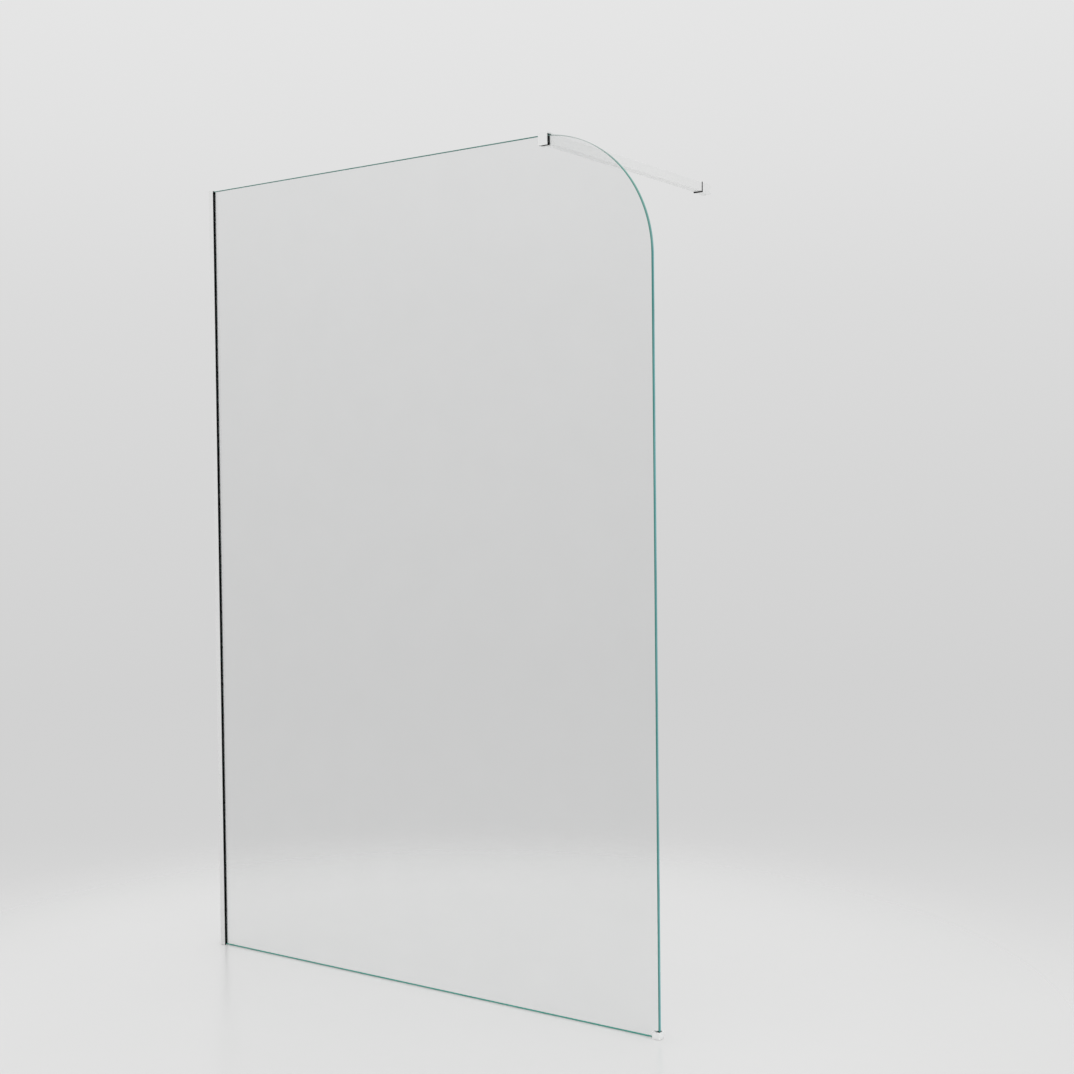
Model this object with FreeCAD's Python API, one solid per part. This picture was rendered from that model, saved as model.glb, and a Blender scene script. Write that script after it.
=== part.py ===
import FreeCAD, Part
import os

# A fixed walk-in shower screen: one pane of glass held in a wall channel, steadied by a bar to the
# wall behind and by a small shoe on the floor. Millimetres. The side wall is the plane X = 0, the
# floor is Z = 0, and Y = 0 is the middle of the glass, with the wall behind at +Y.

Vector = FreeCAD.Vector
ALONG_X = Vector(1, 0, 0)
ALONG_Y = Vector(0, 1, 0)
ALONG_Z = Vector(0, 0, 1)

# The pane
SCREEN_WIDTH = 1354.0
SCREEN_HEIGHT = 2000.0
GLASS_THICKNESS = 10.0
CORNER_RADIUS = 296.0
GLASS_LIFT = 1.2
GLASS_ARRIS = 1.5
GLASS_TRAVEL = 3.0

# The channel on the side wall
CHANNEL_DEPTH = 15.0
CHANNEL_WEB = 2.0
CHANNEL_LIP = 1.8
CHANNEL_EDGE = 0.7
GLASS_BITE = 8.0
STRIP_THICKNESS = 2.0
STRIP_DEPTH = 9.0
STRIP_COVER = 1.2
STRIP_INSET = 0.4
STRIP_RECESS = 2.4
CHANNEL_HOLE_RADIUS = 2.6
CHANNEL_HOLE_END = 150.0
CHANNEL_HOLE_PITCH = 600.0
CAP_THICKNESS = 1.2
CAP_TONGUE_DROP = 12.0

# The blocks and the sealing bead under the pane
SETTING_LENGTH = 60.0
SETTING_INSET = 140.0
BEAD_DEPTH = 2.5

# The saddle on the pane's top edge
BAR_PAST_CURVE = 15.5
FORK_WIDTH = 24.0
FORK_HEIGHT = 28.6
FORK_BRIDGE = 3.0
FORK_FRONT = 3.8
FORK_REAR = 10.0
FORK_EDGE = 0.6
LINER_THICKNESS = 2.0
PLATE_THICKNESS = 1.5
PLATE_MARGIN = 0.9
FORK_SCREW_SPREAD = 12.0
FORK_SCREW_RISE = 2.4
FORK_SCREW_RECESS = 1.0

# The bar to the wall behind
BACK_WALL_Y = 749.0
BAR_SIDE = 24.0
BAR_WALL = 2.0
BAR_EDGE = 1.0
PLUG_LENGTH = 30.0
PLUG_CLEARANCE = 0.2
PLUG_BORE_DEPTH = 22.0
LOCK_POCKET = 4.0
LOCK_RECESS = 0.2

# The block at the wall behind
BLOCK_LENGTH = 42.0
BLOCK_WIDTH = 26.0
BLOCK_HEIGHT = 27.0
BLOCK_WALL = 3.0
BLOCK_FRONT = 8.0
BLOCK_EDGE = 0.6
GASKET_THICKNESS = 2.5
ANCHOR_LENGTH = 12.0
ANCHOR_CLEARANCE = 0.3
ANCHOR_HOLE_RADIUS = 2.2
ANCHOR_HOLE_PITCH = 11.0
ANCHOR_SINK_RADIUS = 4.2
ANCHOR_POCKET = 2.0

# The shoe on the floor
CLIP_BITE = 16.0
CLIP_HEIGHT = 15.2
CLIP_SIDE = 4.0
CLIP_END = 2.6
CLIP_BASE = 0.6
CLIP_EDGE = 1.0
CLIP_LINER_SIDE = 1.0
CLIP_LINER_END = 1.2
CLIP_LINER_PROUD = 0.8
CLIP_LINER_REACH = 8.0

# Screws, and the room round a screw in its hole
SET_SCREW_RADIUS = 1.5
SET_SCREW_HEX = 0.9
SET_SCREW_HEX_DEPTH = 1.6
PLUG_SCREW_RADIUS = 2.5
PLUG_SCREW_LENGTH = 24.0
PLUG_SCREW_HEX = 1.8
PLUG_SCREW_HEX_DEPTH = 1.6
HEAD_RADIUS = 4.2
HEAD_HEIGHT = 2.6
HEAD_CLEARANCE = 0.4
SCREW_CLEARANCE = 0.3

# Worked out from the sizes above
HALF_GLASS = GLASS_THICKNESS / 2
GLASS_LEFT = CHANNEL_DEPTH - GLASS_BITE
BEAD_REAR = BEAD_DEPTH - HALF_GLASS
CHANNEL_INNER = HALF_GLASS + STRIP_THICKNESS
CHANNEL_OUTER = CHANNEL_INNER + CHANNEL_LIP
BAR_X = SCREEN_WIDTH - CORNER_RADIUS + BAR_PAST_CURVE
FORK_TOP = SCREEN_HEIGHT + LINER_THICKNESS + FORK_BRIDGE
FORK_BOTTOM = FORK_TOP - FORK_HEIGHT
FORK_LEFT = BAR_X - FORK_WIDTH / 2
FORK_RIGHT = BAR_X + FORK_WIDTH / 2
SLOT_FRONT = -HALF_GLASS - LINER_THICKNESS
LINER_REAR = HALF_GLASS + LINER_THICKNESS
JAW_FRONT = LINER_REAR + PLATE_THICKNESS
JAW_REAR = JAW_FRONT + FORK_REAR
BAR_TOP = FORK_TOP
BAR_BOTTOM = BAR_TOP - BAR_SIDE
BAR_Z = BAR_TOP - BAR_SIDE / 2
BLOCK_START = BACK_WALL_Y - BLOCK_LENGTH
BAR_START = JAW_REAR
BAR_END = BLOCK_START - GASKET_THICKNESS
BLOCK_TOP = BAR_TOP
BLOCK_BOTTOM = BLOCK_TOP - BLOCK_HEIGHT
PLUG_SIDE = BAR_SIDE - 2 * BAR_WALL - 2 * PLUG_CLEARANCE
LOCK_HOLE_RADIUS = SET_SCREW_RADIUS + SCREW_CLEARANCE
PLUG_HOLE_RADIUS = PLUG_SCREW_RADIUS + SCREW_CLEARANCE


def box(x0, x1, y0, y1, z0, z1):
    """A box between two corners."""
    return Part.makeBox(x1 - x0, y1 - y0, z1 - z0, Vector(x0, y0, z0))


def rod(radius, length, start, direction):
    """A round rod from a point along a direction."""
    return Part.makeCylinder(radius, length, start, direction)


def prism(points, direction):
    """A closed flat outline pushed along a direction."""
    return Part.Face(Part.makePolygon(points + points[:1])).extrude(direction)


def edges_along(shape, direction, keep):
    """The straight edges along a direction whose middle point is to be kept."""
    found = []
    for edge in shape.Edges:
        ends = [vertex.Point for vertex in edge.Vertexes]
        if len(ends) != 2:
            continue
        run = ends[1] - ends[0]
        straight = run.cross(direction).Length < 1e-6 * run.Length
        if straight and keep((ends[0] + ends[1]) * 0.5):
            found.append(edge)
    return found


def hex_recess(radius, depth, start, direction):
    """A six-sided recess for a key, measured to its corners."""
    side = ALONG_X if abs(direction.dot(ALONG_X)) < 0.5 else ALONG_Z
    turn = FreeCAD.Rotation(direction, 60)
    corner = side * radius
    points = []
    for _ in range(6):
        points.append(start + corner)
        corner = turn.multVec(corner)
    return prism(points, direction * depth)


def set_screw(tip, direction, length):
    """A headless screw from its tip outwards, with a key recess in its outer end."""
    body = rod(SET_SCREW_RADIUS, length, tip, direction)
    end = tip + direction * length
    return body.cut(hex_recess(SET_SCREW_HEX, SET_SCREW_HEX_DEPTH, end, direction * -1))


def plug_screw(seat, direction):
    """A cap screw whose head rests on its seat, with its shank along a direction."""
    shank = rod(PLUG_SCREW_RADIUS, PLUG_SCREW_LENGTH, seat, direction)
    head = rod(HEAD_RADIUS, HEAD_HEIGHT, seat, direction * -1)
    top = seat - direction * HEAD_HEIGHT
    return shank.fuse(head).cut(hex_recess(PLUG_SCREW_HEX, PLUG_SCREW_HEX_DEPTH, top, direction))


def screw_passage(seat, direction, reach):
    """The hole for a plug screw: a counterbore behind the seat and a clear hole ahead of it."""
    hole = rod(PLUG_HOLE_RADIUS, reach, seat, direction)
    bore = rod(HEAD_RADIUS + HEAD_CLEARANCE, HEAD_HEIGHT, seat, direction * -1)
    return hole.fuse(bore)


def glass_panel():
    """The pane, with one round corner and an arris ground round both faces."""
    right, top = SCREEN_WIDTH, SCREEN_HEIGHT
    centre = Vector(right - CORNER_RADIUS, -HALF_GLASS, top - CORNER_RADIUS)
    side = Vector(right, -HALF_GLASS, top - CORNER_RADIUS)
    crown = Vector(right - CORNER_RADIUS, -HALF_GLASS, top)
    middle = centre + (side + crown - centre * 2) * 0.5 ** 0.5
    bottom_left = Vector(GLASS_LEFT, -HALF_GLASS, GLASS_LIFT)
    bottom_right = Vector(right, -HALF_GLASS, GLASS_LIFT)
    top_left = Vector(GLASS_LEFT, -HALF_GLASS, top)
    outline = Part.Wire([
        Part.makeLine(bottom_left, bottom_right),
        Part.makeLine(bottom_right, side),
        Part.Arc(side, middle, crown).toShape(),
        Part.makeLine(crown, top_left),
        Part.makeLine(top_left, bottom_left),
    ])
    pane = Part.Face(outline).extrude(ALONG_Y * GLASS_THICKNESS)
    rims = [edge for edge in pane.Edges if edge.BoundBox.YLength < GLASS_THICKNESS / 2]
    return pane.makeChamfer(GLASS_ARRIS, rims)


def channel_hole_heights():
    """Two pairs of wall holes, one pair from each end."""
    low, high = CHANNEL_HOLE_END, SCREEN_HEIGHT - CHANNEL_HOLE_END
    return [low, low + CHANNEL_HOLE_PITCH, high - CHANNEL_HOLE_PITCH, high]


def wall_channel():
    """A U channel, open away from the wall, with screw holes in its web."""
    outer = box(0, CHANNEL_DEPTH, -CHANNEL_OUTER, CHANNEL_OUTER, 0, SCREEN_HEIGHT)
    lip_edges = edges_along(outer, ALONG_Z, lambda p: p.x > CHANNEL_DEPTH / 2)
    outer = outer.makeFillet(CHANNEL_EDGE, lip_edges)
    trough = box(CHANNEL_WEB, CHANNEL_DEPTH, -CHANNEL_INNER, CHANNEL_INNER, 0, SCREEN_HEIGHT)
    channel = outer.cut(trough)
    for height in channel_hole_heights():
        channel = channel.cut(rod(CHANNEL_HOLE_RADIUS, CHANNEL_WEB, Vector(0, 0, height), ALONG_X))
    return channel


def channel_gasket_front():
    """The glazing strip between the pane and the front lip, folded over the lip's end."""
    inner, outer = HALF_GLASS, CHANNEL_OUTER - STRIP_INSET
    back, front = CHANNEL_DEPTH - STRIP_DEPTH, CHANNEL_DEPTH + STRIP_COVER
    corners = [
        (back, inner),
        (front, inner),
        (front, outer),
        (CHANNEL_DEPTH, outer),
        (CHANNEL_DEPTH, CHANNEL_INNER),
        (back, CHANNEL_INNER),
    ]
    return prism([Vector(x, -y, 0) for x, y in corners], ALONG_Z * SCREEN_HEIGHT)


def channel_gasket_rear():
    """The glazing strip between the pane and the rear lip, pushed in behind the lip's end."""
    back, front = CHANNEL_DEPTH - STRIP_DEPTH, CHANNEL_DEPTH - STRIP_RECESS
    return box(back, front, HALF_GLASS, CHANNEL_INNER, 0, SCREEN_HEIGHT)


def channel_cap():
    """A flat cap on the channel's top, with a tongue that plugs in behind the pane."""
    reach = CHANNEL_DEPTH + STRIP_COVER
    lid = box(0, reach, -CHANNEL_OUTER, CHANNEL_OUTER, SCREEN_HEIGHT, SCREEN_HEIGHT + CAP_THICKNESS)
    start = CHANNEL_WEB + SCREW_CLEARANCE
    half = CHANNEL_INNER - SCREW_CLEARANCE
    end = GLASS_LEFT - GLASS_TRAVEL - SCREW_CLEARANCE
    tongue = box(start, end, -half, half, SCREEN_HEIGHT - CAP_TONGUE_DROP, SCREEN_HEIGHT)
    return lid.fuse(tongue)


def setting_block(middle):
    """A thin block that carries the pane, behind the sealing bead."""
    half = SETTING_LENGTH / 2
    return box(middle - half, middle + half, BEAD_REAR, HALF_GLASS, 0, GLASS_LIFT)


def foot_bead():
    """The sealing bead under the pane's front edge, from the channel to the shoe."""
    start, end = CHANNEL_DEPTH + STRIP_COVER, SCREEN_WIDTH - CLIP_BITE
    return box(start, end, -HALF_GLASS, BEAD_REAR, 0, GLASS_LIFT)


def fork_screw_places():
    """Tips of the two set screws in the saddle's rear jaw, left then right."""
    height = FORK_BOTTOM + FORK_SCREW_RISE
    half = FORK_SCREW_SPREAD / 2
    return [Vector(BAR_X + sign * half, JAW_FRONT, height) for sign in (-1, 1)]


def fork_plug_seat():
    """Where the head of the saddle's plug screw rests, sunk into the rear jaw."""
    return Vector(BAR_X, JAW_FRONT + HEAD_HEIGHT, BAR_Z)


def fork_body():
    """The saddle: a front plate, a bridge over the pane and a rear jaw that the bar meets."""
    front = SLOT_FRONT - FORK_FRONT
    block = box(FORK_LEFT, FORK_RIGHT, front, JAW_REAR, FORK_BOTTOM, FORK_TOP)
    block = block.makeFillet(FORK_EDGE, edges_along(block, ALONG_Z, lambda p: p.y < 0))
    slot_top = SCREEN_HEIGHT + LINER_THICKNESS
    block = block.cut(box(FORK_LEFT, FORK_RIGHT, SLOT_FRONT, JAW_FRONT, FORK_BOTTOM, slot_top))
    for tip in fork_screw_places():
        block = block.cut(rod(LOCK_HOLE_RADIUS, FORK_REAR, tip, ALONG_Y))
    return block.cut(screw_passage(fork_plug_seat(), ALONG_Y, FORK_REAR))


def fork_liner():
    """A rubber U over the pane's edge: its front leg ends with the saddle, its rear leg with the plate."""
    top = SCREEN_HEIGHT + LINER_THICKNESS
    rear_bottom = FORK_BOTTOM + PLATE_MARGIN
    block = box(FORK_LEFT, FORK_RIGHT, SLOT_FRONT, LINER_REAR, FORK_BOTTOM, top)
    block = block.cut(box(FORK_LEFT, FORK_RIGHT, -HALF_GLASS, HALF_GLASS, FORK_BOTTOM, SCREEN_HEIGHT))
    return block.cut(box(FORK_LEFT, FORK_RIGHT, HALF_GLASS, LINER_REAR, FORK_BOTTOM, rear_bottom))


def pressure_plate():
    """A steel plate between the set screws and the liner."""
    top = SCREEN_HEIGHT + LINER_THICKNESS - PLATE_MARGIN
    left, right = FORK_LEFT + PLATE_MARGIN, FORK_RIGHT - PLATE_MARGIN
    return box(left, right, LINER_REAR, JAW_FRONT, FORK_BOTTOM + PLATE_MARGIN, top)


def lock_place(face, sign):
    """The middle of a plug on the bar's underside, for the screw that locks the tube."""
    return Vector(BAR_X, face + sign * PLUG_LENGTH / 2, BAR_BOTTOM)


def bar_plug(face, sign):
    """A square plug inside the tube, from the face it is screwed to, with a pocket for a set screw."""
    half = PLUG_SIDE / 2
    y0, y1 = sorted((face, face + sign * PLUG_LENGTH))
    plug = box(BAR_X - half, BAR_X + half, y0, y1, BAR_Z - half, BAR_Z + half)
    plug = plug.cut(rod(PLUG_HOLE_RADIUS, PLUG_BORE_DEPTH, Vector(BAR_X, face, BAR_Z), ALONG_Y * sign))
    pocket = lock_place(face, sign)
    return plug.cut(rod(LOCK_HOLE_RADIUS, BAR_WALL + PLUG_CLEARANCE + LOCK_POCKET, pocket, ALONG_Z))


def bar_tube():
    """A square tube with soft edges, and a hole under each plug for its set screw."""
    half = BAR_SIDE / 2
    tube = box(BAR_X - half, BAR_X + half, BAR_START, BAR_END, BAR_BOTTOM, BAR_TOP)
    tube = tube.makeFillet(BAR_EDGE, edges_along(tube, ALONG_Y, lambda p: True))
    inner = half - BAR_WALL
    tube = tube.cut(box(BAR_X - inner, BAR_X + inner, BAR_START, BAR_END, BAR_Z - inner, BAR_Z + inner))
    for place in (lock_place(BAR_START, 1), lock_place(BLOCK_START, -1)):
        tube = tube.cut(rod(LOCK_HOLE_RADIUS, BAR_WALL, place, ALONG_Z))
    return tube


def bar_lock_screw(place):
    """The set screw up through the tube into its plug."""
    depth = BAR_WALL + PLUG_CLEARANCE + LOCK_POCKET
    return set_screw(place + ALONG_Z * depth, ALONG_Z * -1, depth - LOCK_RECESS)


def bar_gasket():
    """A black plate between the tube's end and the wall block, showing beside and below the bar."""
    half = BLOCK_WIDTH / 2
    plate = box(BAR_X - half, BAR_X + half, BAR_END, BLOCK_START, BLOCK_BOTTOM, BLOCK_TOP)
    inner = BAR_SIDE / 2 - BAR_WALL
    return plate.cut(box(BAR_X - inner, BAR_X + inner, BAR_END, BLOCK_START, BAR_Z - inner, BAR_Z + inner))


def wall_plug_seat():
    """Where the head of the wall block's plug screw rests, sunk into the block's front wall."""
    return Vector(BAR_X, BLOCK_START + BLOCK_FRONT - HEAD_HEIGHT, BAR_Z)


def block_pocket(clearance):
    """The sides of the hollow in the wall block, drawn in by a clearance."""
    half = BLOCK_WIDTH / 2 - BLOCK_WALL - clearance
    low = BLOCK_BOTTOM + BLOCK_WALL + clearance
    high = BLOCK_TOP - BLOCK_WALL - clearance
    return BAR_X - half, BAR_X + half, low, high


def block_lock_place():
    """The middle of the anchor plate on the wall block's underside."""
    return Vector(BAR_X, BACK_WALL_Y - ANCHOR_LENGTH / 2, BLOCK_BOTTOM)


def wall_block():
    """A block against the wall, hollow from behind so that it slips over the anchor plate."""
    half = BLOCK_WIDTH / 2
    block = box(BAR_X - half, BAR_X + half, BLOCK_START, BACK_WALL_Y, BLOCK_BOTTOM, BLOCK_TOP)
    block = block.makeFillet(BLOCK_EDGE, edges_along(block, ALONG_Y, lambda p: True))
    left, right, low, high = block_pocket(0)
    block = block.cut(box(left, right, BLOCK_START + BLOCK_FRONT, BACK_WALL_Y, low, high))
    block = block.cut(screw_passage(wall_plug_seat(), ALONG_Y * -1, BLOCK_FRONT))
    return block.cut(rod(LOCK_HOLE_RADIUS, BLOCK_WALL, block_lock_place(), ALONG_Z))


def anchor_hole_heights():
    """The two wall screws of the anchor plate."""
    middle = (BLOCK_BOTTOM + BLOCK_TOP) / 2
    return [middle - ANCHOR_HOLE_PITCH / 2, middle + ANCHOR_HOLE_PITCH / 2]


def wall_plate():
    """The anchor plate: two sunk screw holes to the wall and a pocket for the locking screw."""
    left, right, low, high = block_pocket(ANCHOR_CLEARANCE)
    front = BACK_WALL_Y - ANCHOR_LENGTH
    plate = box(left, right, front, BACK_WALL_Y, low, high)
    sink_depth = ANCHOR_SINK_RADIUS - ANCHOR_HOLE_RADIUS
    for height in anchor_hole_heights():
        start = Vector(BAR_X, front, height)
        plate = plate.cut(rod(ANCHOR_HOLE_RADIUS, ANCHOR_LENGTH, start, ALONG_Y))
        plate = plate.cut(Part.makeCone(ANCHOR_SINK_RADIUS, ANCHOR_HOLE_RADIUS, sink_depth, start, ALONG_Y))
    reach = BLOCK_WALL + ANCHOR_CLEARANCE + ANCHOR_POCKET
    return plate.cut(rod(LOCK_HOLE_RADIUS, reach, block_lock_place(), ALONG_Z))


def block_lock_screw():
    """The set screw up through the wall block into the anchor plate."""
    reach = BLOCK_WALL + ANCHOR_CLEARANCE + ANCHOR_POCKET
    return set_screw(block_lock_place() + ALONG_Z * reach, ALONG_Z * -1, reach - LOCK_RECESS)


def floor_clip():
    """A shoe that holds the pane's lower free corner from both sides and from its end."""
    start = SCREEN_WIDTH - CLIP_BITE
    slot_end = SCREEN_WIDTH + CLIP_LINER_END
    slot = HALF_GLASS + CLIP_LINER_SIDE
    half = slot + CLIP_SIDE
    shoe = box(start, slot_end + CLIP_END, -half, half, 0, CLIP_HEIGHT)
    shoe = shoe.makeFillet(CLIP_EDGE, edges_along(shoe, ALONG_Z, lambda p: True))
    return shoe.cut(box(start, slot_end, -slot, slot, CLIP_BASE, CLIP_HEIGHT))


def clip_liner():
    """A liner round the pane inside the shoe, standing a little above it."""
    start = SCREEN_WIDTH - CLIP_LINER_REACH
    top = CLIP_HEIGHT + CLIP_LINER_PROUD
    half = HALF_GLASS + CLIP_LINER_SIDE
    block = box(start, SCREEN_WIDTH + CLIP_LINER_END, -half, half, CLIP_BASE, top)
    return block.cut(box(start, SCREEN_WIDTH, -HALF_GLASS, HALF_GLASS, GLASS_LIFT, top))


def pieces():
    """Every piece of the screen by name."""
    fork_tips = fork_screw_places()
    fork_screw_length = FORK_REAR - FORK_SCREW_RECESS
    return {
        "glass_panel": glass_panel(),
        "wall_channel": wall_channel(),
        "channel_gasket_front": channel_gasket_front(),
        "channel_gasket_rear": channel_gasket_rear(),
        "channel_cap": channel_cap(),
        "setting_block_near": setting_block(GLASS_LEFT + SETTING_INSET),
        "setting_block_far": setting_block(SCREEN_WIDTH - SETTING_INSET),
        "foot_bead": foot_bead(),
        "fork_body": fork_body(),
        "fork_liner": fork_liner(),
        "pressure_plate": pressure_plate(),
        "fork_screw_left": set_screw(fork_tips[0], ALONG_Y, fork_screw_length),
        "fork_screw_right": set_screw(fork_tips[1], ALONG_Y, fork_screw_length),
        "fork_plug": bar_plug(BAR_START, 1),
        "fork_plug_screw": plug_screw(fork_plug_seat(), ALONG_Y),
        "bar_tube": bar_tube(),
        "bar_lock_screw_front": bar_lock_screw(lock_place(BAR_START, 1)),
        "bar_lock_screw_rear": bar_lock_screw(lock_place(BLOCK_START, -1)),
        "bar_gasket": bar_gasket(),
        "wall_plug": bar_plug(BLOCK_START, -1),
        "wall_plug_screw": plug_screw(wall_plug_seat(), ALONG_Y * -1),
        "wall_block": wall_block(),
        "wall_plate": wall_plate(),
        "block_lock_screw": block_lock_screw(),
        "floor_clip": floor_clip(),
        "clip_liner": clip_liner(),
    }


os.makedirs("parts", exist_ok=True)
for name, shape in pieces().items():
    shape.exportStep(os.path.join("parts", name + ".step"))
    print(name, "%.1f mm3" % shape.Volume, "valid" if shape.isValid() else "not valid")
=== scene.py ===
import bmesh
import bpy
import math
from mathutils import Matrix, Vector


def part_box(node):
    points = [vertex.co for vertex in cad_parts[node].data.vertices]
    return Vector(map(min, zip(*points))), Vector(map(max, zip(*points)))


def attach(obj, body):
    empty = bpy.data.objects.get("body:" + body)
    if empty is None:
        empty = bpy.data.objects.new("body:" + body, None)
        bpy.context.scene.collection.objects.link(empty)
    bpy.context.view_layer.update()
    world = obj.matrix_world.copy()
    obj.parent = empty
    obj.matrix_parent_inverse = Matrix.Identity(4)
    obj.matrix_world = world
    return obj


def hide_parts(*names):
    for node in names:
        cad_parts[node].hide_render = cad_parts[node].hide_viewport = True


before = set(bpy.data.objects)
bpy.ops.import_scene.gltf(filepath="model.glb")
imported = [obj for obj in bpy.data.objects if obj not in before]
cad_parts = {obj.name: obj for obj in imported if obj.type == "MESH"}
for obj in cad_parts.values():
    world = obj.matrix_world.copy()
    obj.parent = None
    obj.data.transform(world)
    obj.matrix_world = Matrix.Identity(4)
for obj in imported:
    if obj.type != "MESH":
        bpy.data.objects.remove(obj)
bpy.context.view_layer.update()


def colour(red, green, blue):
    return (red, green, blue, 1.0)


# The pane: flat faces, a 45 degree arris and a ground rim, with the quarter round at the free corner.
# It stands a hair clear of the strips and blocks that hold it.
SEAT_GAP = 0.00005
ARRIS = 0.0015
CORNER_RADIUS = 0.296
CORNER_STEPS = 96
CORNER_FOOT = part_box("glass_panel")[1].z - CORNER_RADIUS
SHARP_TURN = math.radians(20)
FACE_SLOT, RIM_SLOT = 0, 1
GLASS_IOR = 1.52
GRAIN_SEED = 7.0

# Where the ground rim changes colour. The first three zones are in metres: above the floor,
# out from the pane's middle, and from the middle to the rear.
FOOT_ZONE = (0.004, 0.008)
ARRIS_ZONE = (0.0032, 0.0036)
REAR_ZONE = (-0.0005, 0.0030)

# These are shares of the round corner's rise, from its foot at 0 to the pane's head at 1.
TURN_ZONE = (0.1, 0.6)
GREENING_ZONE = (0.1, 0.5)
REAR_END = (0.60, 0.88)
BEND_START, BEND_END = (0.0, 0.12), (0.76, 0.88)
CROWN_SHADE_START = (0.62, 0.76)
CROWN_START, CROWN_END = (0.70, 0.90), (0.985, 0.998)

# These are levels of the noise that draws the painted reflection streaks and bands in the rim, and flecks
# in the white coat.
REFLECTION_STREAK_ZONE = (0.36, 0.64)
DEEP_ZONE = (0.50, 0.66)
LIT_ZONE = (0.34, 0.50)
FLECK_ZONE = (0.68, 0.76)

# Rim colours over the glass's own green, with painted light and shade. A pair runs from the dark of a
# painted reflection streak, or of the arris drift, to its light.
# Painted light and shade: the upright and the lying edges get their own tones, from how light falls on
# each.
UPRIGHT_PAINTED_TONES = (colour(0.046, 0.204, 0.212), colour(0.124, 0.336, 0.346))
LYING_PAINTED_TONES = (colour(0.026, 0.215, 0.175), colour(0.092, 0.385, 0.320))
# Painted bounce light: at the foot the rim is brighter and greener, as if lit by the pale bead under it.
FOOT_BOUNCE_TONES = (colour(0.030, 0.370, 0.295), colour(0.092, 0.560, 0.450))
# Painted shade: the arris is dark green.
ARRIS_SHADE_TONES = (colour(0.014, 0.135, 0.105), colour(0.030, 0.175, 0.140))
# Painted bounce light on the arris at the foot.
FOOT_BOUNCE_ARRIS = colour(0.020, 0.310, 0.235)

# Painted light: the rear of the rim is paler, bluish on the upright edge and greener round the corner.
REAR_LIGHT_SHARE = 0.80
REAR_LIGHT_TONES = (colour(0.365, 0.630, 0.655), colour(0.365, 0.650, 0.550))

# Thin washes over the rim: how strong each is, and its colour.
# Painted reflections: darker and lighter bands along the rim.
DARK_REFLECTION_BAND = (0.34, colour(0.012, 0.170, 0.150))
LIT_REFLECTION_BAND = (0.20, colour(0.22, 0.58, 0.56))
# Painted light: the round corner is paler along most of its rise.
BEND_PAINTED_LIGHT = (0.15, colour(0.46, 0.70, 0.60))
# Painted shade: the upper part of the round corner is greyer and dimmer.
CROWN_PAINTED_SHADE = (0.50, colour(0.165, 0.250, 0.225))
# Painted refraction: at the crown the rim turns pale grey, as the white bar seen through the edge.
CROWN_PAINTED_BAR = (0.86, colour(0.43, 0.47, 0.46))
GRIND_LINES = (0.25, colour(0.09, 0.35, 0.33))
# The grind lines fade by this share under the painted refraction at the crown.
CROWN_GRIND_FADE = 0.8

# The stage: a pale floor that thins out into the backdrop colour, and even soft light.
# Each backdrop stop is a height, from straight down at 0 to straight up at 1, and its grey.
# Painted shade: the backdrop dips darker in a band round the horizon, the stops from 0.40 to 0.61.
BACKDROP_STOPS = [
    (0.00, colour(0.750, 0.750, 0.748)),
    (0.35, colour(0.750, 0.750, 0.748)),
    (0.40, colour(0.645, 0.645, 0.645)),
    (0.44, colour(0.642, 0.642, 0.642)),
    (0.50, colour(0.672, 0.672, 0.672)),
    (0.56, colour(0.710, 0.710, 0.710)),
    (0.61, colour(0.760, 0.760, 0.760)),
    (0.66, colour(0.795, 0.795, 0.795)),
    (1.00, colour(0.800, 0.800, 0.800)),
]
AMBIENT_STRENGTH = 0.82
FLOOR_HALF = 9.0
FLOOR_DROP = 0.0003
FLOOR_MIDDLE = (0.70, 0.0, 0.0)
FLOOR_FADE = (0.95, 1.9)

# Lamps, in metres, watts and degrees of spread.
LAMPS = {
    "overhead_lamp": {
        "place": (1.1, -0.6, 9.0), "aim": (0.7, 0.3, 0.0), "size": 6.0, "watts": 180.0, "spread": 180.0,
    },
    "low_lamp": {
        "place": (2.7, -1.4, 0.12), "aim": (1.0, 0.4, 2.0), "size": 1.4, "watts": 2.1, "spread": 64.0,
    },
    "shoe_lamp": {
        "place": (3.6, -1.7, 0.10), "aim": (1.345, 0.0, 0.06), "size": 0.3, "watts": 0.6, "spread": 30.0,
    },
}

# The camera stands at chest height, out to the front right of the free edge, and looks across the pane.
# Its turns are in degrees, and its lens and sensor in millimetres.
CAMERA_PLACE = (3.0933, -2.9300, 1.1858)
CAMERA_HEADING = 35.022
CAMERA_PITCH = -1.468
CAMERA_ROLL = -0.6337
CAMERA_LENS = 52.62
CAMERA_SENSOR = 36.0
LEVEL = 90.0


class Wire:
    """One output socket of a finish, so that sums on it can be written as plain expressions."""

    def __init__(self, sheet, socket):
        self.sheet = sheet
        self.socket = socket

    def maths(self, operation, *terms):
        return self.sheet.add("ShaderNodeMath", {"operation": operation}, dict(enumerate(terms)))

    def __add__(self, other):
        return self.maths("ADD", self, other)

    def __radd__(self, other):
        return self.maths("ADD", other, self)

    def __sub__(self, other):
        return self.maths("SUBTRACT", self, other)

    def __rsub__(self, other):
        return self.maths("SUBTRACT", other, self)

    def __mul__(self, other):
        return self.maths("MULTIPLY", self, other)

    def __rmul__(self, other):
        return self.maths("MULTIPLY", other, self)

    def __abs__(self):
        return self.maths("ABSOLUTE", self)

    def either(self, other):
        return self.maths("MAXIMUM", self, other)


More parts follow.
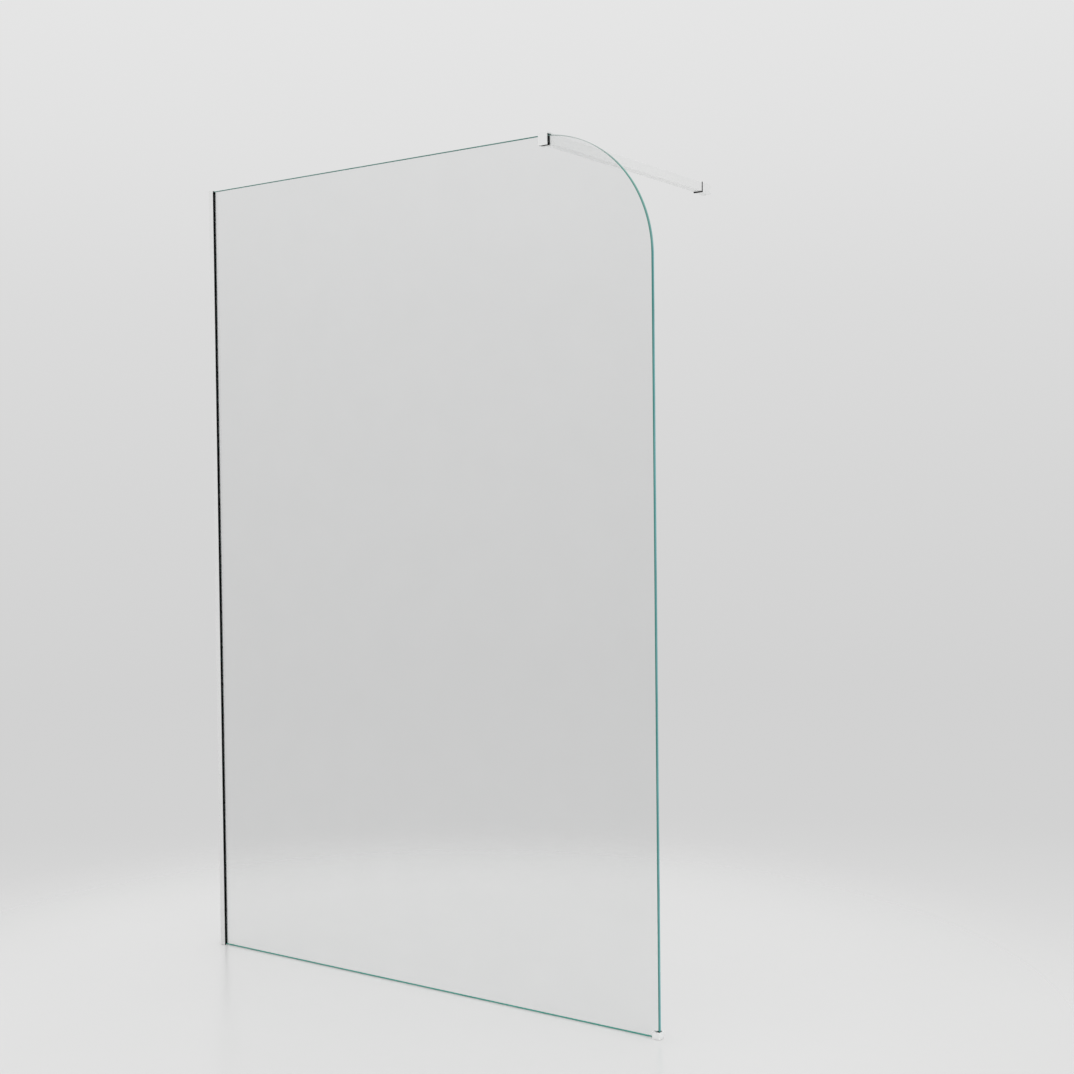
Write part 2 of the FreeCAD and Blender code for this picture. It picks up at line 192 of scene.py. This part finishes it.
class Sheet:
    """The node sheet of one finish, or of the light round the part."""

    MIX_SHARE, MIX_LOW, MIX_HIGH = 0, 6, 7
    MIX_COLOUR = 2

    def __init__(self, owner):
        owner.use_nodes = True
        self.tree = owner.node_tree
        self.tree.nodes.clear()

    def add(self, kind, settings=None, sockets=None, out=0):
        node = self.tree.nodes.new(kind)
        for name, value in (settings or {}).items():
            if name == "stops":
                lay_stops(node.color_ramp, value)
            else:
                setattr(node, name, value)
        for name, value in (sockets or {}).items():
            if isinstance(value, Wire):
                self.tree.links.new(value.socket, node.inputs[name])
            else:
                node.inputs[name].default_value = value
        return Wire(self, node.outputs[out]) if len(node.outputs) else None

    def place(self):
        return self.add("ShaderNodeTexCoord", out="Object")

    def across(self, vector, axis):
        return self.add("ShaderNodeSeparateXYZ", sockets={0: vector}, out=axis)

    def ray(self, kind):
        return self.add("ShaderNodeLightPath", out=kind)

    def noise(self, place, scale, detail, stretch=None):
        if stretch:
            place = self.add("ShaderNodeVectorMath", {"operation": "MULTIPLY"}, {0: place, 1: stretch})
        return self.add(
            "ShaderNodeTexNoise",
            {"noise_dimensions": "4D"},
            {"Vector": place, "W": GRAIN_SEED, "Scale": scale, "Detail": detail},
        )

    def between(self, value, zone):
        low, high = zone
        return self.add(
            "ShaderNodeMapRange",
            {"interpolation_type": "SMOOTHSTEP"},
            {"Value": value, "From Min": low, "From Max": high},
        )

    def within(self, value, start, end):
        return self.between(value, start) * (1.0 - self.between(value, end))

    def tint(self, share, low, high):
        sockets = {self.MIX_SHARE: share, self.MIX_LOW: low, self.MIX_HIGH: high}
        return self.add("ShaderNodeMix", {"data_type": "RGBA"}, sockets, self.MIX_COLOUR)

    def wash(self, base, mask, strength, tone):
        return self.tint(strength * mask, base, tone)

    def bump(self, height, depth, strength):
        sockets = {"Strength": strength, "Distance": depth, "Height": height}
        return self.add("ShaderNodeBump", sockets=sockets)

    def surface(self, sockets):
        return self.add("ShaderNodeBsdfPrincipled", sockets=sockets)

    def blend(self, share, first, second):
        return self.add("ShaderNodeMixShader", sockets={0: share, 1: first, 2: second})

    def finish(self, surface):
        self.add("ShaderNodeOutputMaterial", sockets={"Surface": surface})


def lay_stops(ramp, stops):
    while len(ramp.elements) < len(stops):
        ramp.elements.new(1.0)
    for element, (position, shade) in zip(ramp.elements, stops):
        element.position = position
        element.color = shade


def new_finish(name):
    material = bpy.data.materials.new(name)
    return material, Sheet(material)


def clear_pane_glass():
    material, sheet = new_finish("clear_pane_glass")
    place = sheet.place()
    roller_wave = sheet.noise(place, scale=1.0, detail=1.0, stretch=(0.8, 1.0, 5.0))
    film = sheet.noise(place, scale=9.0, detail=4.0)
    glass = sheet.surface(
        {
            "Base Color": sheet.tint(film, colour(0.900, 0.905, 0.904), colour(0.935, 0.938, 0.938)),
            "Roughness": 0.004 * film,
            "IOR": GLASS_IOR,
            "Transmission Weight": 1.0,
            "Normal": sheet.bump(roller_wave, depth=0.0002, strength=0.3),
        }
    )
    # Soft light and shadows go straight through, so the pane hardly darkens what stands behind it.
    passing = sheet.add("ShaderNodeBsdfTransparent", sockets={"Color": colour(0.96, 0.962, 0.962)})
    pane = glass
    for kind in ("Is Diffuse Ray", "Is Shadow Ray"):
        pane = sheet.blend(sheet.ray(kind), pane, passing)
    sheet.finish(pane)
    return material


def ground_glass_edge():
    material, sheet = new_finish("ground_glass_edge")
    place = sheet.place()
    grind = sheet.noise(place, scale=1.0, detail=3.0, stretch=(14.0, 1900.0, 14.0))
    drift = sheet.noise(place, scale=3.0, detail=2.0)
    reflection_bands = sheet.noise(place, scale=1.0, detail=4.0, stretch=(7.0, 60.0, 7.0))
    wander = sheet.noise(place, scale=1.0, detail=2.0, stretch=(4.0, 900.0, 4.0))
    # Painted reflections: the streaks are lighter and darker lines along the edge.
    reflection_streak = sheet.between(wander, REFLECTION_STREAK_ZONE)

    height = sheet.across(place, "Z")
    rearward = sheet.across(place, "Y")
    rise = (height - CORNER_FOOT) * (1.0 / CORNER_RADIUS)
    foot = 1.0 - sheet.between(height, FOOT_ZONE)
    arris = sheet.between(abs(rearward), ARRIS_ZONE)
    # Painted light: the rear half of the rim is paler, fading out before the crown.
    rear_light = sheet.between(rearward, REAR_ZONE) * (1.0 - sheet.between(rise, REAR_END))
    bend = sheet.within(rise, BEND_START, BEND_END)
    crown_shade = sheet.within(rise, CROWN_SHADE_START, CROWN_END)
    crown_refraction = sheet.within(rise, CROWN_START, CROWN_END)

    # Painted light and shade: upright and lying edges get their own tones, streaked with painted
    # reflections.
    upright_painted = sheet.tint(reflection_streak, *UPRIGHT_PAINTED_TONES)
    lying_painted = sheet.tint(reflection_streak, *LYING_PAINTED_TONES)
    turned = sheet.tint(sheet.between(rise, TURN_ZONE), upright_painted, lying_painted)
    rear_light_tone = sheet.tint(sheet.between(rise, GREENING_ZONE), *REAR_LIGHT_TONES)
    rear_lit = sheet.wash(turned, rear_light, REAR_LIGHT_SHARE, rear_light_tone)
    # Painted bounce light: near the floor the rim is brighter and greener.
    body = sheet.tint(foot, rear_lit, sheet.tint(reflection_streak, *FOOT_BOUNCE_TONES))
    # Painted reflections: darker and lighter bands along the rim.
    reflection_darkened = sheet.wash(body, sheet.between(reflection_bands, DEEP_ZONE), *DARK_REFLECTION_BAND)
    reflection_lit = sheet.wash(reflection_darkened, 1.0 - sheet.between(reflection_bands, LIT_ZONE), *LIT_REFLECTION_BAND)
    # Painted shade on the arris, paler green at the foot, where painted bounce light lifts it.
    arris_shade = sheet.tint(foot, sheet.tint(drift, *ARRIS_SHADE_TONES), FOOT_BOUNCE_ARRIS)
    arris_shaded = sheet.tint(arris, reflection_lit, arris_shade)
    # Painted light: the round corner is paler along most of its rise.
    bend_lit = sheet.wash(arris_shaded, bend, *BEND_PAINTED_LIGHT)
    # Painted shade: the upper part of the round corner is greyer and dimmer.
    crown_shaded = sheet.wash(bend_lit, crown_shade, *CROWN_PAINTED_SHADE)
    # Painted refraction: the crown shows the white bar through the edge as pale grey, and the grind lines
    # fade there.
    crown_refracted = sheet.wash(crown_shaded, crown_refraction, *CROWN_PAINTED_BAR)
    lined = sheet.wash(crown_refracted, grind * (1.0 - CROWN_GRIND_FADE * crown_refraction), *GRIND_LINES)
    edge = sheet.surface(
        {
            "Base Color": lined,
            "Roughness": 0.10 + 0.12 * grind + 0.12 * arris,
            "IOR": GLASS_IOR,
            "Specular IOR Level": 0.3,
            "Normal": sheet.bump(grind, depth=0.00003, strength=0.3),
        }
    )
    sheet.finish(edge)
    return material


def white_powder_coat():
    material, sheet = new_finish("white_powder_coat")
    place = sheet.place()
    peel = sheet.noise(place, scale=420.0, detail=2.0)
    grit = sheet.noise(place, scale=2600.0, detail=2.0)
    cloud = sheet.noise(place, scale=11.0, detail=3.0)
    fleck = sheet.between(sheet.noise(place, scale=900.0, detail=1.0), FLECK_ZONE)
    white = sheet.tint(cloud, colour(0.775, 0.780, 0.780), colour(0.815, 0.815, 0.810))
    coat = sheet.surface(
        {
            "Base Color": sheet.wash(white, fleck, strength=0.35, tone=colour(0.690, 0.690, 0.685)),
            "Roughness": 0.26 + 0.16 * peel + 0.12 * grit,
            "Normal": sheet.bump(0.6 * peel + 0.4 * grit, depth=0.00014, strength=0.5),
        }
    )
    sheet.finish(coat)
    return material


def grained_finish(name, cloud, tones, grain, smooth, scuff, relief, strength, fixed=None):
    """Colour follows a soft cloud. Roughness, from smooth up by the scuff, and relief follow a grain."""
    material, sheet = new_finish(name)
    place = sheet.place()
    fine = sheet.noise(place, **grain)
    sockets = {
        "Base Color": sheet.tint(sheet.noise(place, **cloud), *tones),
        "Roughness": smooth + scuff * fine,
        "Normal": sheet.bump(fine, relief, strength),
    }
    sheet.finish(sheet.surface({**sockets, **(fixed or {})}))
    return material


def black_rubber():
    return grained_finish(
        "soft_black_rubber",
        cloud={"scale": 1.0, "detail": 3.0, "stretch": (60.0, 60.0, 9.0)},
        tones=(colour(0.002, 0.002, 0.0024), colour(0.006, 0.006, 0.0064)),
        grain={"scale": 2200.0, "detail": 3.0},
        smooth=0.62,
        scuff=0.25,
        relief=0.00005,
        strength=0.4,
        fixed={"Specular IOR Level": 0.06},
    )


def turned_stainless():
    return grained_finish(
        "turned_stainless",
        cloud={"scale": 160.0, "detail": 3.0},
        tones=(colour(0.52, 0.51, 0.49), colour(0.66, 0.65, 0.63)),
        grain={"scale": 1.0, "detail": 3.0, "stretch": (500.0, 2600.0, 2600.0)},
        smooth=0.22,
        scuff=0.18,
        relief=0.00003,
        strength=0.4,
        fixed={"Metallic": 1.0},
    )


def drawn_aluminium():
    return grained_finish(
        "drawn_aluminium",
        cloud={"scale": 120.0, "detail": 3.0},
        tones=(colour(0.66, 0.67, 0.68), colour(0.78, 0.78, 0.79)),
        grain={"scale": 1.0, "detail": 3.0, "stretch": (1700.0, 30.0, 1700.0)},
        smooth=0.30,
        scuff=0.18,
        relief=0.00004,
        strength=0.5,
        fixed={"Metallic": 1.0},
    )


def white_moulded_plastic():
    return grained_finish(
        "white_moulded_plastic",
        cloud={"scale": 90.0, "detail": 2.0},
        tones=(colour(0.770, 0.775, 0.770), colour(0.805, 0.805, 0.795)),
        grain={"scale": 1500.0, "detail": 2.0},
        smooth=0.42,
        scuff=0.16,
        relief=0.00005,
        strength=0.4,
    )


def clear_block_plastic():
    return grained_finish(
        "clear_block_plastic",
        cloud={"scale": 60.0, "detail": 3.0},
        tones=(colour(0.86, 0.89, 0.88), colour(0.94, 0.95, 0.95)),
        grain={"scale": 1.0, "detail": 2.0, "stretch": (2200.0, 2200.0, 160.0)},
        smooth=0.28,
        scuff=0.22,
        relief=0.00004,
        strength=0.4,
        fixed={"IOR": 1.49, "Transmission Weight": 0.3},
    )


def pale_silicone():
    return grained_finish(
        "pale_silicone_bead",
        cloud={"scale": 35.0, "detail": 3.0},
        tones=(colour(0.74, 0.75, 0.74), colour(0.80, 0.81, 0.80)),
        grain={"scale": 1.0, "detail": 3.0, "stretch": (40.0, 900.0, 900.0)},
        smooth=0.30,
        scuff=0.2,
        relief=0.0001,
        strength=0.4,
    )


CLEAR_GLASS = clear_pane_glass()
GLASS_EDGE = ground_glass_edge()
FINISHES = {
    "white_coat": white_powder_coat(),
    "black_rubber": black_rubber(),
    "stainless": turned_stainless(),
    "plain_aluminium": drawn_aluminium(),
    "white_plastic": white_moulded_plastic(),
    "clear_plastic": clear_block_plastic(),
    "pale_silicone": pale_silicone(),
    "clear_glass": CLEAR_GLASS,
}


def pane_outline(low, high, inset):
    left, right = low.x + inset, high.x - inset
    foot, head = low.z + inset, high.z - inset
    centre_x, centre_z = high.x - CORNER_RADIUS, high.z - CORNER_RADIUS
    radius = CORNER_RADIUS - inset
    line = [(left, foot), (right, foot)]
    for step in range(CORNER_STEPS + 1):
        turn = math.pi / 2 * step / CORNER_STEPS
        line.append((centre_x + radius * math.cos(turn), centre_z + radius * math.sin(turn)))
    line.append((left, head))
    return line


def pane_mesh():
    low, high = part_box("glass_panel")
    gap = Vector((SEAT_GAP, SEAT_GAP, SEAT_GAP))
    low, high = low + gap, high - gap
    levels = [(low.y, ARRIS), (low.y + ARRIS, 0.0), (high.y - ARRIS, 0.0), (high.y, ARRIS)]
    mesh = bmesh.new()
    rings = []
    for depth, inset in levels:
        rings.append([mesh.verts.new((x, depth, z)) for x, z in pane_outline(low, high, inset)])
    for ring in (rings[0], list(reversed(rings[-1]))):
        mesh.faces.new(ring).material_index = FACE_SLOT
    count = len(rings[0])
    for near, far in zip(rings, rings[1:]):
        for step in range(count):
            after = (step + 1) % count
            rim = mesh.faces.new((near[step], far[step], far[after], near[after]))
            rim.material_index = RIM_SLOT
            rim.smooth = True
    bmesh.ops.recalc_face_normals(mesh, faces=mesh.faces)
    for edge in mesh.edges:
        edge.smooth = edge.calc_face_angle() < SHARP_TURN
    data = bpy.data.meshes.new("pane")
    mesh.to_mesh(data)
    mesh.free()
    data.materials.append(CLEAR_GLASS)
    data.materials.append(GLASS_EDGE)
    return data


def add_to_scene(name, data):
    thing = bpy.data.objects.new(name, data)
    bpy.context.scene.collection.objects.link(thing)
    return thing


def make_pane():
    pane = add_to_scene("pane", pane_mesh())
    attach(pane, "glass")
    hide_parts("glass_panel")


def dress_nodes():
    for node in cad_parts.values():
        slots = node.data.materials
        slots[0] = FINISHES[slots[0].name]


def pale_floor_finish():
    material, sheet = new_finish("pale_floor")
    place = sheet.place()
    mottle = sheet.noise(place, scale=2.5, detail=4.0)
    floor = sheet.surface(
        {
            "Base Color": sheet.tint(mottle, colour(0.735, 0.735, 0.733), colour(0.755, 0.755, 0.753)),
            "Roughness": 0.20 + 0.06 * mottle,
            "Specular IOR Level": 0.3,
        }
    )
    ends = {0: place, 1: FLOOR_MIDDLE}
    away = sheet.add("ShaderNodeVectorMath", {"operation": "DISTANCE"}, ends, "Value")
    nothing = sheet.add("ShaderNodeBsdfTransparent")
    sheet.finish(sheet.blend(sheet.between(away, FLOOR_FADE), floor, nothing))
    return material


def make_floor():
    half = FLOOR_HALF
    corners = [(-half, -half), (half, -half), (half, half), (-half, half)]
    data = bpy.data.meshes.new("pale_floor")
    data.from_pydata([(x, y, -FLOOR_DROP) for x, y in corners], [], [tuple(range(len(corners)))])
    data.materials.append(pale_floor_finish())
    add_to_scene("pale_floor", data)


def light_world():
    """The backdrop is what is seen, mirrored or looked at through glass. All else gets even white light."""
    world = bpy.data.worlds.new("soft_room_light")
    bpy.context.scene.world = world
    sheet = Sheet(world)
    mirrored_or_passed = sheet.ray("Is Glossy Ray").either(sheet.ray("Is Transmission Ray"))
    shown = sheet.ray("Is Camera Ray").either(mirrored_or_passed)
    height = sheet.across(sheet.add("ShaderNodeTexCoord", out="Generated"), "Z")
    shade = sheet.add("ShaderNodeValToRGB", {"stops": BACKDROP_STOPS}, {"Fac": 0.5 + 0.5 * height})
    backdrop = sheet.add("ShaderNodeBackground", sockets={"Color": shade, "Strength": 1.0})
    white = {"Color": colour(1.0, 1.0, 1.0), "Strength": AMBIENT_STRENGTH}
    ambient = sheet.add("ShaderNodeBackground", sockets=white)
    sheet.add("ShaderNodeOutputWorld", sockets={"Surface": sheet.blend(shown, ambient, backdrop)})


def hang_lamp(name, place, aim, size, watts, spread):
    lamp = bpy.data.lights.new(name, "AREA")
    lamp.shape = "DISK"
    lamp.size = size
    lamp.energy = watts
    lamp.spread = math.radians(spread)
    holder = add_to_scene(name, lamp)
    holder.location = place
    holder.rotation_euler = (Vector(aim) - Vector(place)).to_track_quat("-Z", "Y").to_euler()
    holder.visible_camera = False
    holder.visible_glossy = False
    holder.visible_transmission = False


def set_camera():
    camera = bpy.data.cameras.new("camera")
    camera.sensor_width = CAMERA_SENSOR
    camera.lens = CAMERA_LENS
    holder = add_to_scene("camera", camera)
    turn = Matrix.Rotation(math.radians(CAMERA_HEADING), 4, "Z")
    tip = Matrix.Rotation(math.radians(LEVEL + CAMERA_PITCH), 4, "X")
    roll = Matrix.Rotation(math.radians(CAMERA_ROLL), 4, "Z")
    holder.matrix_world = Matrix.Translation(CAMERA_PLACE) @ turn @ tip @ roll
    bpy.context.scene.camera = holder


dress_nodes()
make_pane()
make_floor()
light_world()
for lamp_name, lamp_values in LAMPS.items():
    hang_lamp(lamp_name, **lamp_values)
set_camera()
bpy.context.scene.view_settings.view_transform = "Standard"
